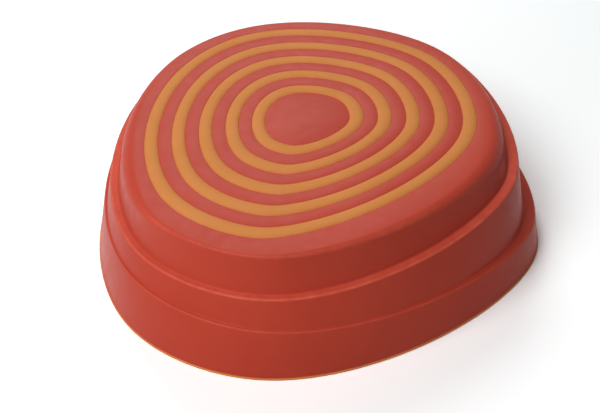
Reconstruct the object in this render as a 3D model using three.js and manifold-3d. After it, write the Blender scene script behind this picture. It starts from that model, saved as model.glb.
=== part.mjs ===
// A stepping hill for balance play: a hollow moulded shell in three tiers, five rubber grip rings let into
// its deck, and a rubber rim that clips inside its foot.
// Lengths are in millimetres and +Z is up. X runs to the right and Y away from the front of the hill.
// The origin is on the floor, under the middle of the foot.
import * as THREE from 'three';
import { mergeVertices } from 'three/addons/utils/BufferGeometryUtils.js';
import Module from 'manifold-3d';

const wasm = await Module();
wasm.setup();

// Driving dimensions of the hill's form. A tier's height is taken at the centre of the rings.
const fieldRadius = 150;
const deckBorderWidth = 20.5;
const deckEdgeRadius = 5.6;
const deckEdgeMargin = 1.5;
const innerEdgeRadius = 0.6;
const upperTierHeight = 22.7;
const middleTierHeight = 42.6;
const lowerTierHeight = 40;
const upperLedgeWidth = 8.4;
const lowerLedgeWidth = 6.4;
const upperCoveRadius = 1.8;
const lowerCoveRadius = 1.8;
const lipRadius = 2.2;

// On a narrow ledge the cove and the lip take no more than this share of its width
const cornerWidthShare = 0.42;

// How far a wall leans out for each millimetre that it drops
const upperDraftShare = 0.156;
const middleDraftShare = 0.193;
const lowerDraftShare = 0.197;

// The tiers aren't concentric with the rings: each is set to the right, and to the back or the front
const upperCentre = { right: 2, back: -4 };
const middleCentre = { right: 4.2, back: -1.5 };
const lowerCentre = { right: 4.5, back: 2.4 };

// The ledges aren't level: rise for each millimetre to the right, and for each millimetre back
const upperLedgeSlope = { right: 0.03, back: 0.063 };
const lowerLedgeSlope = { right: -0.043, back: -0.013 };

// An outline is a circle with a few waves on it. A wave has that many lobes to the turn, stands out by a
// share of the field radius, and has one of its crests in the direction given in degrees from +X.
const sharedWaves = [
  { lobes: 5, heightShare: 0.011, crestDegrees: -18 },
  { lobes: 6, heightShare: 0.007, crestDegrees: -23 },
];
const ringWaves = [
  { lobes: 2, heightShare: 0.079, crestDegrees: 64.4 },
  { lobes: 3, heightShare: 0.043, crestDegrees: 5.5 },
];
// The top tier's outline is between the rings' outline and the middle tier's
const upperWaves = [
  { lobes: 2, heightShare: 0.0606, crestDegrees: 66.9 },
  { lobes: 3, heightShare: 0.0317, crestDegrees: -0.9 },
  { lobes: 4, heightShare: 0.0079, crestDegrees: -30 },
];
const tierWaves = [
  { lobes: 2, heightShare: 0.053, crestDegrees: 68.5 },
  { lobes: 3, heightShare: 0.0286, crestDegrees: -5 },
  { lobes: 4, heightShare: 0.0113, crestDegrees: -30 },
];
const footWaves = [
  { lobes: 2, heightShare: 0.0374, crestDegrees: 77 },
  { lobes: 3, heightShare: 0.0506, crestDegrees: -2.5 },
  { lobes: 4, heightShare: 0.0113, crestDegrees: -30 },
];

// The deck's edge is rounded most at the two ends of the hill, and least at its front left. These waves are
// on the radius of the rounding itself.
const deckEdgeWaves = [
  { lobes: 1, heightShare: 0.147, crestDegrees: 47 },
  { lobes: 2, heightShare: 0.324, crestDegrees: -6 },
  { lobes: 3, heightShare: 0.109, crestDegrees: -46 },
];

// Walls of the moulding
const wallThickness = 3.5;
const deckThickness = 5;
const ribCount = 6;
const ribThickness = 2.6;
const ribDepth = 9;
const hubRadius = 24;

// Grip rings, counted from the middle of the deck
const ringCount = 5;
const islandRadius = 38.7;
const ringWidth = 12.1;
const ringClearance = 0.3;
const grooveDepth = 2.4;
const ringCrownHeight = 0.8;
const ringShoulderHeight = 0.4;
const ringShoulderWidth = 1.2;
const ringCrownInset = 3.2;
const ringSideDepth = 0.3;

// Rubber anchors that pass through the deck and hold each ring from below
const innerRingCount = 2;
const innerAnchorCount = 3;
const outerAnchorCount = 6;
const anchorRadius = 2.5;
const anchorHeadRadius = 4.5;
const anchorHeadThickness = 1.6;
const anchorHeadTaper = 1.2;

// Rubber rim under the foot, with a lip inside the wall and a bead that snaps into a groove
const rimThickness = 1.8;
const rimProud = 0.4;
const rimChamfer = 0.6;
const rimLipThickness = 3;
const rimLipHeight = 10;
const beadDepth = 0.8;
const beadBottom = 6;
const beadHeight = 1.2;

// Gap between pieces that are fitted, how far joined solids overlap, and how far a cut runs past
const fitClearance = 0.3;
const overlap = 1;
const cutOverrun = 2;

// Straight sides that stand for each full turn, each rounded corner and each anchor
const stationCount = 60;
const edgeSteps = 4;
const cornerSteps = 3;
const anchorSides = 8;

// Heights and mean radii that follow from the driving dimensions
const deckLevel = lowerTierHeight + middleTierHeight + upperTierHeight;
const deckRadius = fieldRadius + deckBorderWidth;
const grooveLevel = deckLevel - grooveDepth;
const undersideLevel = deckLevel - deckThickness;
const upperLedgeDepth = upperTierHeight;
const lowerLedgeDepth = upperTierHeight + middleTierHeight;
const upperCreaseRadius = deckRadius + upperDraftShare * (upperLedgeDepth - deckEdgeRadius);
const upperEdgeRadius = upperCreaseRadius + upperLedgeWidth;
const lowerCreaseRadius = upperEdgeRadius + middleDraftShare * middleTierHeight;
const lowerEdgeRadius = lowerCreaseRadius + lowerLedgeWidth;
const footRadius = lowerEdgeRadius + lowerDraftShare * lowerTierHeight;
const ringPitch = (fieldRadius - ringWidth - islandRadius) / (ringCount - 1);
const fullTurn = 2 * Math.PI;
const quarterTurn = Math.PI / 2;

// Form of each stage: where its centre is, and the waves on its outline
const ringForm = { right: 0, back: 0, waves: [...ringWaves, ...sharedWaves] };
const upperForm = { ...upperCentre, waves: [...upperWaves, ...sharedWaves] };
const middleForm = { ...middleCentre, waves: [...tierWaves, ...sharedWaves] };
const lowerForm = { ...lowerCentre, waves: [...footWaves, ...sharedWaves] };

// Slope of a level line on a wall, with the draft of the wall that it is drawn on
const level = { right: 0, back: 0, draftShare: 0 };
const upperSlope = { ...upperLedgeSlope, draftShare: upperDraftShare };
const lowerSlope = { ...lowerLedgeSlope, draftShare: middleDraftShare };

// Direction across the outline at an angle
function outward(angle) {
  return new THREE.Vector3(Math.cos(angle), Math.sin(angle), 0);
}

// Height of a set of waves at an angle, as a share of the radius that they stand on
function waveShare(waves, angle) {
  let share = 0;
  for (const wave of waves) {
    const phase = wave.lobes * (angle - THREE.MathUtils.degToRad(wave.crestDegrees));
    share += wave.heightShare * Math.cos(phase);
  }
  return share;
}

// Distance from the centre of the rings to the outline's tangent that faces an angle
function reachOf(form, radius, waveRadius, angle) {
  const centreReach = form.right * Math.cos(angle) + form.back * Math.sin(angle);
  return radius + centreReach + waveRadius * waveShare(form.waves, angle);
}

// How fast that distance changes with the angle
function turnOf(form, waveRadius, angle) {
  let turn = form.back * Math.cos(angle) - form.right * Math.sin(angle);
  for (const wave of form.waves) {
    const phase = wave.lobes * (angle - THREE.MathUtils.degToRad(wave.crestDegrees));
    turn -= waveRadius * wave.heightShare * wave.lobes * Math.sin(phase);
  }
  return turn;
}

// Point where the outline's tangent faces an angle
function outlinePoint(form, radius, waveRadius, angle) {
  const reach = reachOf(form, radius, waveRadius, angle);
  const turn = turnOf(form, waveRadius, angle);
  const x = reach * Math.cos(angle) - turn * Math.sin(angle);
  const y = reach * Math.sin(angle) + turn * Math.cos(angle);
  return new THREE.Vector3(x, y, 0);
}

// A row runs once round the hill: it is a function that gives the point at an angle.
// The outlines of the rings are scaled copies of one shape, so a ring is wider where the shape reaches far.
function ringRow(radius, height) {
  return (angle) => outlinePoint(ringForm, radius, radius, angle).setZ(height);
}

// The outlines of a tier are parallel curves, so its wall keeps its draft all the way round
function tierRow(form, radius, depth, slope) {
  return (angle) => {
    const point = outlinePoint(form, radius, fieldRadius, angle);
    const drop = -(point.x * slope.right + point.y * slope.back);
    point.setZ(deckLevel - depth - drop);
    return point.addScaledVector(outward(angle), slope.draftShare * drop);
  };
}

// The lower wall's face at a height above the floor, set in by a distance
function footRow(inset, height) {
  const radius = footRadius - lowerDraftShare * height - inset;
  return tierRow(lowerForm, radius, deckLevel - height, level);
}

// A row moved outwards and down, both by functions of the angle
function movedRow(row, out, down) {
  return (angle) => {
    const point = row(angle).addScaledVector(outward(angle), out(angle));
    return point.setZ(point.z - down(angle));
  };
}

// A ledge runs from the crease at the foot of one wall to the edge at the top of the next
const upperLedge = {
  crease: tierRow(upperForm, upperCreaseRadius, upperLedgeDepth, upperSlope),
  edge: tierRow(middleForm, upperEdgeRadius, upperLedgeDepth, upperSlope),
  coveRadius: upperCoveRadius,
  draftAboveShare: upperDraftShare,
  draftBelowShare: middleDraftShare,
};
const lowerLedge = {
  crease: tierRow(middleForm, lowerCreaseRadius, lowerLedgeDepth, lowerSlope),
  edge: tierRow(lowerForm, lowerEdgeRadius, lowerLedgeDepth, lowerSlope),
  coveRadius: lowerCoveRadius,
  draftAboveShare: middleDraftShare,
  draftBelowShare: lowerDraftShare,
};

// Radius of a ledge's cove or lip at an angle
function cornerSize(ledge, radius, angle) {
  const width = ledge.edge(angle).sub(ledge.crease(angle)).dot(outward(angle));
  return Math.min(radius, cornerWidthShare * width);
}

// The deck's edge is rounded by its radius there, or as far in as the outer groove leaves room for
function deckEdgeSize(angle) {
  const wanted = deckEdgeRadius * (1 + waveShare(deckEdgeWaves, angle));
  const deckReach = reachOf(upperForm, deckRadius, fieldRadius, angle);
  const grooveReach = reachOf(ringForm, fieldRadius + ringClearance, fieldRadius, angle);
  return Math.min(wanted, deckReach - grooveReach - deckEdgeMargin);
}

// The rounding turns until it is upright, or until it meets the cove of a high ledge
function deckEdgeTurn(angle) {
  const room = deckLevel - upperLedge.crease(angle).z - cornerSize(upperLedge, upperCoveRadius, angle);
  return Math.acos(Math.max(0, 1 - room / deckEdgeSize(angle)));
}

// Closed skin through the rows: a lathed body with every station moved onto its row
function skinOfRows(rows, closed) {
  const loop = closed ? [...rows, rows[0]] : rows;
  const profile = loop.map((row) => new THREE.Vector2(row(0).x, row(0).z));
  const geometry = new THREE.LatheGeometry(profile, stationCount);
  const positions = geometry.getAttribute('position');
  for (let station = 0; station <= stationCount; station++) {
    const angle = fullTurn * (station % stationCount) / stationCount;
    loop.forEach((row, place) => {
      const point = row(angle);
      positions.setXYZ(station * loop.length + place, point.x, point.y, point.z);
    });
  }
  return geometry;
}

// Closed body from a geometry, with its faces turned outwards
function solidOf(geometry) {
  const bare = geometry.clone();
  bare.deleteAttribute('normal');
  bare.deleteAttribute('uv');
  const merged = mergeVertices(bare);
  const positions = merged.getAttribute('position');
  const corners = [0, 1, 2].map(() => new THREE.Vector3());
  const triangles = [];
  let volume = 0;
  for (let start = 0; start < merged.index.count; start += 3) {
    const triple = [0, 1, 2].map((step) => merged.index.getX(start + step));
    if (new Set(triple).size < triple.length) continue;
    triple.forEach((vertex, corner) => corners[corner].fromBufferAttribute(positions, vertex));
    volume += corners[0].dot(corners[1].clone().cross(corners[2]));
    triangles.push(triple);
  }
  if (volume < 0) triangles.forEach((triple) => triple.reverse());
  const vertProperties = new Float32Array(positions.array);
  const triVerts = new Uint32Array(triangles.flat());
  return new wasm.Manifold(new wasm.Mesh({ numProp: 3, vertProperties, triVerts }));
}

// Named mesh of a finished body
function meshOf(name, solid, material) {
  const { vertProperties, triVerts } = solid.getMesh();
  const geometry = new THREE.BufferGeometry();
  geometry.setAttribute('position', new THREE.BufferAttribute(new Float32Array(vertProperties), 3));
  geometry.setIndex(new THREE.BufferAttribute(new Uint32Array(triVerts), 1));
  geometry.computeVertexNormals();
  const mesh = new THREE.Mesh(geometry, material);
  mesh.name = name;
  return mesh;
}

// Mean outer radius of a ring, counted from the island in the middle
function ringOuterRadius(ring) {
  return islandRadius + ringWidth + ring * ringPitch;
}

// Points on a ring's middle line where its anchors stand, in directions halfway between the ribs
function anchorPlaces(ring) {
  const count = ring < innerRingCount ? innerAnchorCount : outerAnchorCount;
  const first = fullTurn / ribCount / 2;
  const middleLine = ringRow(ringOuterRadius(ring) - ringWidth / 2, 0);
  return Array.from({ length: count }, (_, place) => middleLine(first + fullTurn * place / count));
}

// Deck with one flat-bottomed groove for each grip ring
function deckRows() {
  const rows = [ringRow(0, deckLevel)];
  for (let ring = 0; ring < ringCount; ring++) {
    const outer = ringOuterRadius(ring) + ringClearance;
    const inner = ringOuterRadius(ring) - ringWidth - ringClearance;
    rows.push(ringRow(inner, deckLevel));
    rows.push(ringRow(inner, grooveLevel));
    rows.push(ringRow(outer, grooveLevel));
    rows.push(ringRow(outer, deckLevel));
  }
  return rows;
}

// Rounding from the deck to the upper wall, for the face that lies this far inside the moulding
function deckEdgeRows(wall, roof) {
  const outline = tierRow(upperForm, deckRadius - wall, roof, level);
  const size = (angle) => Math.max(deckEdgeSize(angle) - wall, innerEdgeRadius);
  return Array.from({ length: edgeSteps + 1 }, (_, step) => {
    const turnAt = (angle) => deckEdgeTurn(angle) * step / edgeSteps;
    const out = (angle) => size(angle) * (Math.sin(turnAt(angle)) - 1);
    const down = (angle) => size(angle) * (1 - Math.cos(turnAt(angle)));
    return movedRow(outline, out, down);
  });
}

// Hollow curve from a wall's foot to its ledge
function coveRow(ledge, turn) {
  const size = (angle) => cornerSize(ledge, ledge.coveRadius, angle);
  const above = (angle) => size(angle) * (1 - Math.sin(turn));
  const out = (angle) => size(angle) * (1 - Math.cos(turn)) - ledge.draftAboveShare * above(angle);
  return movedRow(ledge.crease, out, (angle) => -above(angle));
}

// Rounded lip from a ledge to the wall below it
function lipRow(ledge, turn) {
  const size = (angle) => cornerSize(ledge, lipRadius, angle);
  const below = (angle) => size(angle) * (1 - Math.cos(turn));
  const out = (angle) => ledge.draftBelowShare * below(angle) - size(angle) * (1 - Math.sin(turn));
  return movedRow(ledge.edge, out, below);
}

function ledgeRows(ledge) {
  const turns = Array.from({ length: cornerSteps + 1 }, (_, step) => quarterTurn * step / cornerSteps);
  return [...turns.map((turn) => coveRow(ledge, turn)), ...turns.map((turn) => lipRow(ledge, turn))];
}

// Outside of the shell, from the middle of the deck down to its foot
function outerRows() {
  return [
    ...deckRows(),
    ...deckEdgeRows(0, 0),
    ...ledgeRows(upperLedge),
    ...ledgeRows(lowerLedge),
    footRow(0, rimThickness),
  ];
}

// Groove inside the foot that the rim's bead snaps into
function beadGrooveRows() {
  const bottom = beadBottom - fitClearance;
  const top = beadBottom + beadHeight + fitClearance;
  return [
    footRow(wallThickness, bottom),
    footRow(wallThickness - beadDepth, bottom),
    footRow(wallThickness - beadDepth, top),
    footRow(wallThickness, top),
  ];
}

// Face of the shell that lies this far inside the moulding, from the lower ledge up to the deck
function innerRows(wall, roof) {
  const faces = [lowerLedge.edge, lowerLedge.crease, upperLedge.edge, upperLedge.crease];
  return [
    ...faces.map((row) => movedRow(row, () => -wall, () => wall)),
    ...deckEdgeRows(wall, roof).reverse(),
    ringRow(0, deckLevel - roof),
  ];
}

// Ribs that carry the deck: a hub ring in the middle and straight ribs from it to the walls
function ribSolid() {
  const bottom = undersideLevel - ribDepth;
  const height = ribDepth + overlap;
  const hubOuter = hubRadius + ribThickness;
  const hub = new THREE.LatheGeometry([
    new THREE.Vector2(hubRadius, 0),
    new THREE.Vector2(hubOuter, 0),
    new THREE.Vector2(hubOuter, height),
    new THREE.Vector2(hubRadius, height),
    new THREE.Vector2(hubRadius, 0),
  ], stationCount / 2);
  hub.rotateX(quarterTurn);
  hub.translate(0, 0, bottom);
  let ribs = solidOf(hub);
  for (let place = 0; place < ribCount; place++) {
    const rib = new THREE.BoxGeometry(footRadius, ribThickness, height);
    rib.translate(hubRadius + ribThickness / 2 + footRadius / 2, 0, bottom + height / 2);
    rib.rotateZ(fullTurn * place / ribCount);
    ribs = ribs.add(solidOf(rib));
  }
  const wall = wallThickness - overlap;
  const hollow = [ringRow(0, 0), footRow(wall, 0), ...innerRows(wall, deckThickness - overlap)];
  return ribs.intersect(solidOf(skinOfRows(hollow, false)));
}

// Round solid on an upright axis, from a profile of radius and height
function uprightSolid(profile, place) {
  const geometry = new THREE.LatheGeometry(profile, anchorSides);
  geometry.rotateX(quarterTurn);
  geometry.translate(place.x, place.y, 0);
  return solidOf(geometry);
}

// Hole through the deck for one anchor
function anchorHole(place) {
  const radius = anchorRadius + fitClearance;
  const bottom = undersideLevel - cutOverrun;
  const top = grooveLevel + cutOverrun;
  return uprightSolid([
    new THREE.Vector2(0, bottom),
    new THREE.Vector2(radius, bottom),
    new THREE.Vector2(radius, top),
    new THREE.Vector2(0, top),
  ], place);
}

// Anchor with a tapered head that is pushed through the deck and holds from below
function anchorSolid(place) {
  const headTop = undersideLevel - fitClearance;
  const headBottom = headTop - anchorHeadThickness;
  const top = grooveLevel + overlap;
  return uprightSolid([
    new THREE.Vector2(0, headBottom),
    new THREE.Vector2(anchorHeadRadius - anchorHeadTaper, headBottom),
    new THREE.Vector2(anchorHeadRadius, headTop),
    new THREE.Vector2(anchorRadius, headTop),
    new THREE.Vector2(anchorRadius, top),
    new THREE.Vector2(0, top),
  ], place);
}

// Moulded shell: deck, three walls, two ledges, ribs and the holes for the anchors
function shell(material) {
  const rows = [
    ...outerRows(),
    footRow(wallThickness, rimThickness),
    ...beadGrooveRows(),
    ...innerRows(wallThickness, deckThickness),
  ];
  let solid = solidOf(skinOfRows(rows, false)).add(ribSolid());
  for (let ring = 0; ring < ringCount; ring++) {
    for (const place of anchorPlaces(ring)) solid = solid.subtract(anchorHole(place));
  }
  return meshOf('shell', solid, material);
}

// Grip ring with a crowned top, seated on the floor of its groove
function gripRing(ring, material) {
  const outer = ringOuterRadius(ring);
  const inner = outer - ringWidth;
  const side = deckLevel - ringSideDepth;
  const shoulder = deckLevel + ringShoulderHeight;
  const crown = deckLevel + ringCrownHeight;
  const rows = [
    ringRow(inner, grooveLevel),
    ringRow(inner, side),
    ringRow(inner + ringShoulderWidth, shoulder),
    ringRow(inner + ringCrownInset, crown),
    ringRow(outer - ringCrownInset, crown),
    ringRow(outer - ringShoulderWidth, shoulder),
    ringRow(outer, side),
    ringRow(outer, grooveLevel),
  ];
  let solid = solidOf(skinOfRows(rows, true));
  for (const place of anchorPlaces(ring)) solid = solid.add(anchorSolid(place));
  return meshOf(`grip_ring_${ring + 1}`, solid, material);
}

// Rim: a strip under the wall's edge, and a lip with a bead up its inner face
function baseRim(material) {
  const lipOuter = wallThickness + fitClearance;
  const lipInner = lipOuter + rimLipThickness;
  const beadTop = beadBottom + beadHeight;
  const rows = [
    footRow(rimChamfer - rimProud, 0),
    footRow(-rimProud, rimChamfer),
    footRow(-rimProud, rimThickness),
    footRow(lipOuter, rimThickness),
    footRow(lipOuter, beadBottom),
    footRow(lipOuter - beadDepth, beadBottom),
    footRow(lipOuter - beadDepth, beadTop),
    footRow(lipOuter, beadTop),
    footRow(lipOuter, rimLipHeight),
    footRow(lipInner, rimLipHeight),
    footRow(lipInner, rimChamfer),
    footRow(lipInner - rimChamfer, 0),
  ];
  return meshOf('base_rim', solidOf(skinOfRows(rows, true)), material);
}

// Middle of the foot's outline, which the origin stands under
function footMiddle() {
  const bounds = new THREE.Box3();
  const row = footRow(-rimProud, rimChamfer);
  for (let station = 0; station < stationCount; station++) {
    bounds.expandByPoint(row(fullTurn * station / stationCount));
  }
  return bounds.getCenter(new THREE.Vector3());
}

// Finishes
const redPlastic = new THREE.MeshStandardMaterial({ color: 0xba4334, roughness: 0.5, metalness: 0 });
const orangeRubber = new THREE.MeshStandardMaterial({ color: 0xd0803c, roughness: 0.75, metalness: 0 });

// Assembly
const hill = new THREE.Group();
hill.add(shell(redPlastic));
for (let ring = 0; ring < ringCount; ring++) hill.add(gripRing(ring, orangeRubber));
hill.add(baseRim(orangeRubber));
const middle = footMiddle();
hill.position.set(-middle.x, -middle.y, 0);

const root = new THREE.Group();
root.add(hill);

export default root;
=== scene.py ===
import bpy
import math
from collections import namedtuple
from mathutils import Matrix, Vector


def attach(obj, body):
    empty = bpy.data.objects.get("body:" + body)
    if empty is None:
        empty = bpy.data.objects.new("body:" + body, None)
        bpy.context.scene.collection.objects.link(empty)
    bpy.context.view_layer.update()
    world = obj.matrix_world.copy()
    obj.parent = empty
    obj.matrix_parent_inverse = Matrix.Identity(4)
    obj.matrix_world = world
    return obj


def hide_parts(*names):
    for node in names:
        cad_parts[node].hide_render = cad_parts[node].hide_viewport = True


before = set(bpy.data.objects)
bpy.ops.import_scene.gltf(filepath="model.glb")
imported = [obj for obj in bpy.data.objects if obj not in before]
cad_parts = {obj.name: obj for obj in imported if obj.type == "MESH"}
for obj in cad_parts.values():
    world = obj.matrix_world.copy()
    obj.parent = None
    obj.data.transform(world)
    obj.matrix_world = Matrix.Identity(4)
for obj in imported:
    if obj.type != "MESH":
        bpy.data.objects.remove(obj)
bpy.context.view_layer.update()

# The shell is the whole hill: a deck, three leaning walls and two ledges round it, open underneath.
# It is moulded in one piece from red plastic with a fine satin grain.
# Five grooves in its deck hold the grip rings, and a groove inside its foot holds the rim.
field_radius = 0.150
deck_radius = 0.1705
upper_tier_height = 0.0227
middle_tier_height = 0.0426
lower_tier_height = 0.040
deck_level = upper_tier_height + middle_tier_height + lower_tier_height
upper_ledge_width = 0.0084
lower_ledge_width = 0.0064
upper_draft_share = 0.156
middle_draft_share = 0.193
lower_draft_share = 0.197
wall_thickness = 0.0035
deck_thickness = 0.005
ring_count = 5
island_radius = 0.0387
ring_width = 0.0121
ring_clearance = 0.0001
groove_depth = 0.0024
groove_edge = 0.0002
ring_pitch = (field_radius - ring_width - island_radius) / (ring_count - 1)
rim_thickness = 0.0018
bead_depth = 0.0008
bead_bottom = 0.006
bead_height = 0.0012
fit_clearance = 0.0003
full_turn = 2 * math.pi
quarter_turn = math.pi / 2

# Where the middle of the rings lies from the middle of the foot
rings_right = -0.012025
rings_back = -0.001741

# Each level line's centre from the middle of the rings, and the set of waves that its outline follows
Form = namedtuple("Form", "right back ring_share foot_share")
ring_form = Form(0, 0, 1, 0)
upper_form = Form(0.002, -0.0035, 0.5, 0)
upper_crease_form = Form(0.003, -0.0045, 0.05, 0)
middle_form = Form(0.0042, -0.0015, 0, 0)
lower_form = Form(0.0045, 0.0024, 0, 1)

# The ledges tilt: rise to the right and to the back, with the lean of the wall that the line is drawn on
Slope = namedtuple("Slope", "right back draft_share")
level_line = Slope(0, 0, 0)
upper_slope = Slope(0.03, 0.063, upper_draft_share)
lower_slope = Slope(-0.043, -0.013, middle_draft_share)

# An outline is a circle with waves: lobes to the turn, height as a share, and the direction of a crest
Wave = namedtuple("Wave", "lobes height_share crest_degrees")
shared_waves = [Wave(5, 0.011, -18), Wave(6, 0.007, -23)]
ring_waves = [Wave(2, 0.079, 64.4), Wave(3, 0.043, 5.5)]
tier_waves = [Wave(2, 0.053, 68.5), Wave(3, 0.0286, -5), Wave(4, 0.0113, -30)]
foot_waves = [Wave(2, 0.0374, 77), Wave(3, 0.0506, -2.5), Wave(4, 0.0113, -30)]

# The deck's edge is rounded least at the front left of the hill. Its radius grows towards the two ends,
# and the painted highlight along the edge fades where it does.
deck_edge_radius = 0.0056
deck_edge_waves = [Wave(1, 0.147, 47), Wave(2, 0.324, -6), Wave(3, 0.109, -46)]
deck_growth_waves = [Wave(2, 0.7, -5), Wave(3, 0.25, -35)]
deck_growth_share = 0.9
deck_highlight_fade_power = 3
deck_edge_margin = 0.0012
deck_edge_steps = 12
deck_edge_highlight_share = 0.5
upper_cove_radius = 0.0014
upper_cove_height = 0.0016
lower_cove_radius = 0.0018
lower_cove_height = 0.0022
lip_radius = 0.0022
lip_height = 0.0018
corner_steps = 6
small_corner_steps = 3
corner_width_share = 0.46
least_corner = 0.0006
groove_edge_highlight_share = 0.5
# Shares of painted highlight on the ledges' treads and lips
upper_tread_highlight_share = 0.42
upper_lip_highlight_share = 0.75
lower_tread_highlight_share = 0
lower_lip_highlight_share = 0.5
foot_edge = 0.0005
merge_distance = 0.000002
shell_sharp_degrees = 38

# Which room limits a corner's reach
FREE, UPPER_LEDGE, LOWER_LEDGE, DECK_EDGE = 0, 1, 2, 3

upper_crease_radius = deck_radius + upper_draft_share * (upper_tier_height - deck_edge_radius)
upper_edge_radius = upper_crease_radius + upper_ledge_width
lower_crease_radius = upper_edge_radius + middle_draft_share * middle_tier_height
lower_edge_radius = lower_crease_radius + lower_ledge_width
foot_radius = lower_edge_radius + lower_draft_share * lower_tier_height
lower_ledge_depth = upper_tier_height + middle_tier_height


def section_row(form, radius, depth, slope=level_line, waves_at=field_radius, **corner):
    """One level line of a section that goes round the hill, and how a corner moves it out and down."""
    row = {
        "radius": radius,
        "wave_radius": waves_at,
        "ring_share": form.ring_share,
        "foot_share": form.foot_share,
        "right": form.right,
        "back": form.back,
        "depth": depth,
        "slope_right": slope.right,
        "slope_back": slope.back,
        "draft_share": slope.draft_share,
        "corner_size": 0,
        "corner_room": FREE,
        "corner_out_share": 0,
        "corner_down_share": 0,
        "corner_wall": 0,
        # How much of the material's painted light tone the row takes: painted highlight on the plastic,
        # painted shade on the rubber.
        "edge_share": 0,
    }
    row.update(corner)
    return row


def ring_row(radius, depth, edge_share=0):
    """The rings' outlines are scaled copies of one shape, so their waves grow with the radius."""
    return section_row(ring_form, radius, depth, waves_at=radius, edge_share=edge_share)


def foot_row(inset, height, edge_share=0):
    """A line on the lower wall at a height above the floor, set in by a distance."""
    radius = foot_radius - lower_draft_share * height - inset
    return section_row(lower_form, radius, deck_level - height, edge_share=edge_share)


def quarter_steps(steps):
    """Angles from 0 to a quarter turn."""
    return [quarter_turn * step / steps for step in range(steps + 1)]


def groove_rows(ring):
    """A flat-bottomed groove with rounded upper edges, which carry a painted highlight."""
    inner = island_radius + ring * ring_pitch - ring_clearance
    outer = island_radius + ring_width + ring * ring_pitch + ring_clearance
    inner_edge = []
    outer_edge = []
    for turn in quarter_steps(small_corner_steps):
        out = groove_edge * (1 - math.sin(turn))
        down = groove_edge * (1 - math.cos(turn))
        edge_share = groove_edge_highlight_share * math.sin(2 * turn)
        inner_edge.append(ring_row(inner - out, down, edge_share))
        outer_edge.append(ring_row(outer + out, down, edge_share))
    floor_rows = [ring_row(inner, groove_depth), ring_row(outer, groove_depth)]
    return inner_edge + floor_rows + outer_edge[::-1]


def deck_edge_rows(wall, roof):
    """The rounding from the deck to the upper wall, for a face this far inside the moulding; the outer face
    carries a painted highlight.
    """
    rows = []
    for turn in quarter_steps(deck_edge_steps):
        rows.append(section_row(
            upper_form,
            deck_radius - wall,
            roof,
            corner_size=deck_edge_radius,
            corner_room=DECK_EDGE,
            corner_out_share=math.sin(turn) - 1,
            corner_down_share=1 - math.cos(turn),
            corner_wall=wall,
            edge_share=deck_edge_highlight_share * math.sin(2 * turn) ** 2 if wall == 0 else 0,
        ))
    return rows


# A ledge runs from the crease at the foot of one wall to the edge at the top of the next
Ledge = namedtuple("Ledge", (
    "above crease below edge depth slope room cove_radius cove_height draft_below_share tread_share lip_share"
))
upper_ledge = Ledge(
    upper_crease_form, upper_crease_radius, middle_form, upper_edge_radius, upper_tier_height, upper_slope,
    UPPER_LEDGE, upper_cove_radius, upper_cove_height, middle_draft_share, upper_tread_highlight_share, upper_lip_highlight_share,
)
lower_ledge = Ledge(
    middle_form, lower_crease_radius, lower_form, lower_edge_radius, lower_ledge_depth, lower_slope,
    LOWER_LEDGE, lower_cove_radius, lower_cove_height, lower_draft_share, lower_tread_highlight_share, lower_lip_highlight_share,
)


def ledge_rows(ledge):
    """A hollow cove at the foot of the wall, the narrow tread, and a rounded lip, with a painted highlight on
    the tread and the lip.
    """
    rows = []
    for turn in quarter_steps(corner_steps):
        above = ledge.cove_height * (1 - math.sin(turn))
        rows.append(section_row(
            ledge.above,
            ledge.crease - ledge.slope.draft_share * above,
            ledge.depth - above,
            ledge.slope,
            corner_size=ledge.cove_radius,
            corner_room=ledge.room,
            corner_out_share=1 - math.cos(turn),
            edge_share=ledge.tread_share * (1 - math.cos(turn)),
        ))
    for turn in quarter_steps(corner_steps):
        below = lip_height * (1 - math.cos(turn))
        rows.append(section_row(
            ledge.below,
            ledge.edge + ledge.draft_below_share * below,
            ledge.depth + below,
            ledge.slope,
            corner_size=lip_radius,
            corner_room=ledge.room,
            corner_out_share=math.sin(turn) - 1,
            edge_share=ledge.tread_share * math.cos(turn) + ledge.lip_share * math.sin(2 * turn) ** 2,
        ))
    return rows


def foot_edge_rows():
    """The foot's outer corner, rounded down to the rim that it stands on, with a painted highlight on the
    rounding.
    """
    rows = []
    for turn in reversed(quarter_steps(small_corner_steps)):
        inset = foot_edge * (1 - math.sin(turn))
        height = rim_thickness + foot_edge * (1 - math.cos(turn))
        rows.append(foot_row(inset, height, edge_share=math.sin(2 * turn)))
    return rows


def bead_groove_rows():
    """The groove inside the foot that the rim's bead snaps into."""
    bottom = bead_bottom - fit_clearance
    top = bead_bottom + bead_height + fit_clearance
    return [
        foot_row(wall_thickness, bottom),
        foot_row(wall_thickness - bead_depth, bottom),
        foot_row(wall_thickness - bead_depth, top),
        foot_row(wall_thickness, top),
    ]


def under_ledge_rows(ledge):
    """The inside of a ledge, one wall thickness in and down from the outside."""
    depth = ledge.depth + wall_thickness
    return [
        section_row(ledge.below, ledge.edge - wall_thickness, depth, ledge.slope),
        section_row(ledge.above, ledge.crease - wall_thickness, depth, ledge.slope),
    ]


shell_rows = [ring_row(0, 0)]
for ring in range(ring_count):
    shell_rows += groove_rows(ring)
shell_rows += deck_edge_rows(0, 0)
shell_rows += ledge_rows(upper_ledge)
shell_rows += ledge_rows(lower_ledge)
shell_rows += foot_edge_rows()
shell_rows.append(foot_row(wall_thickness, rim_thickness))
shell_rows += bead_groove_rows()
shell_rows += under_ledge_rows(lower_ledge)
shell_rows += under_ledge_rows(upper_ledge)
shell_rows += reversed(deck_edge_rows(wall_thickness, deck_thickness))
shell_rows.append(ring_row(0, deck_thickness))


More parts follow.
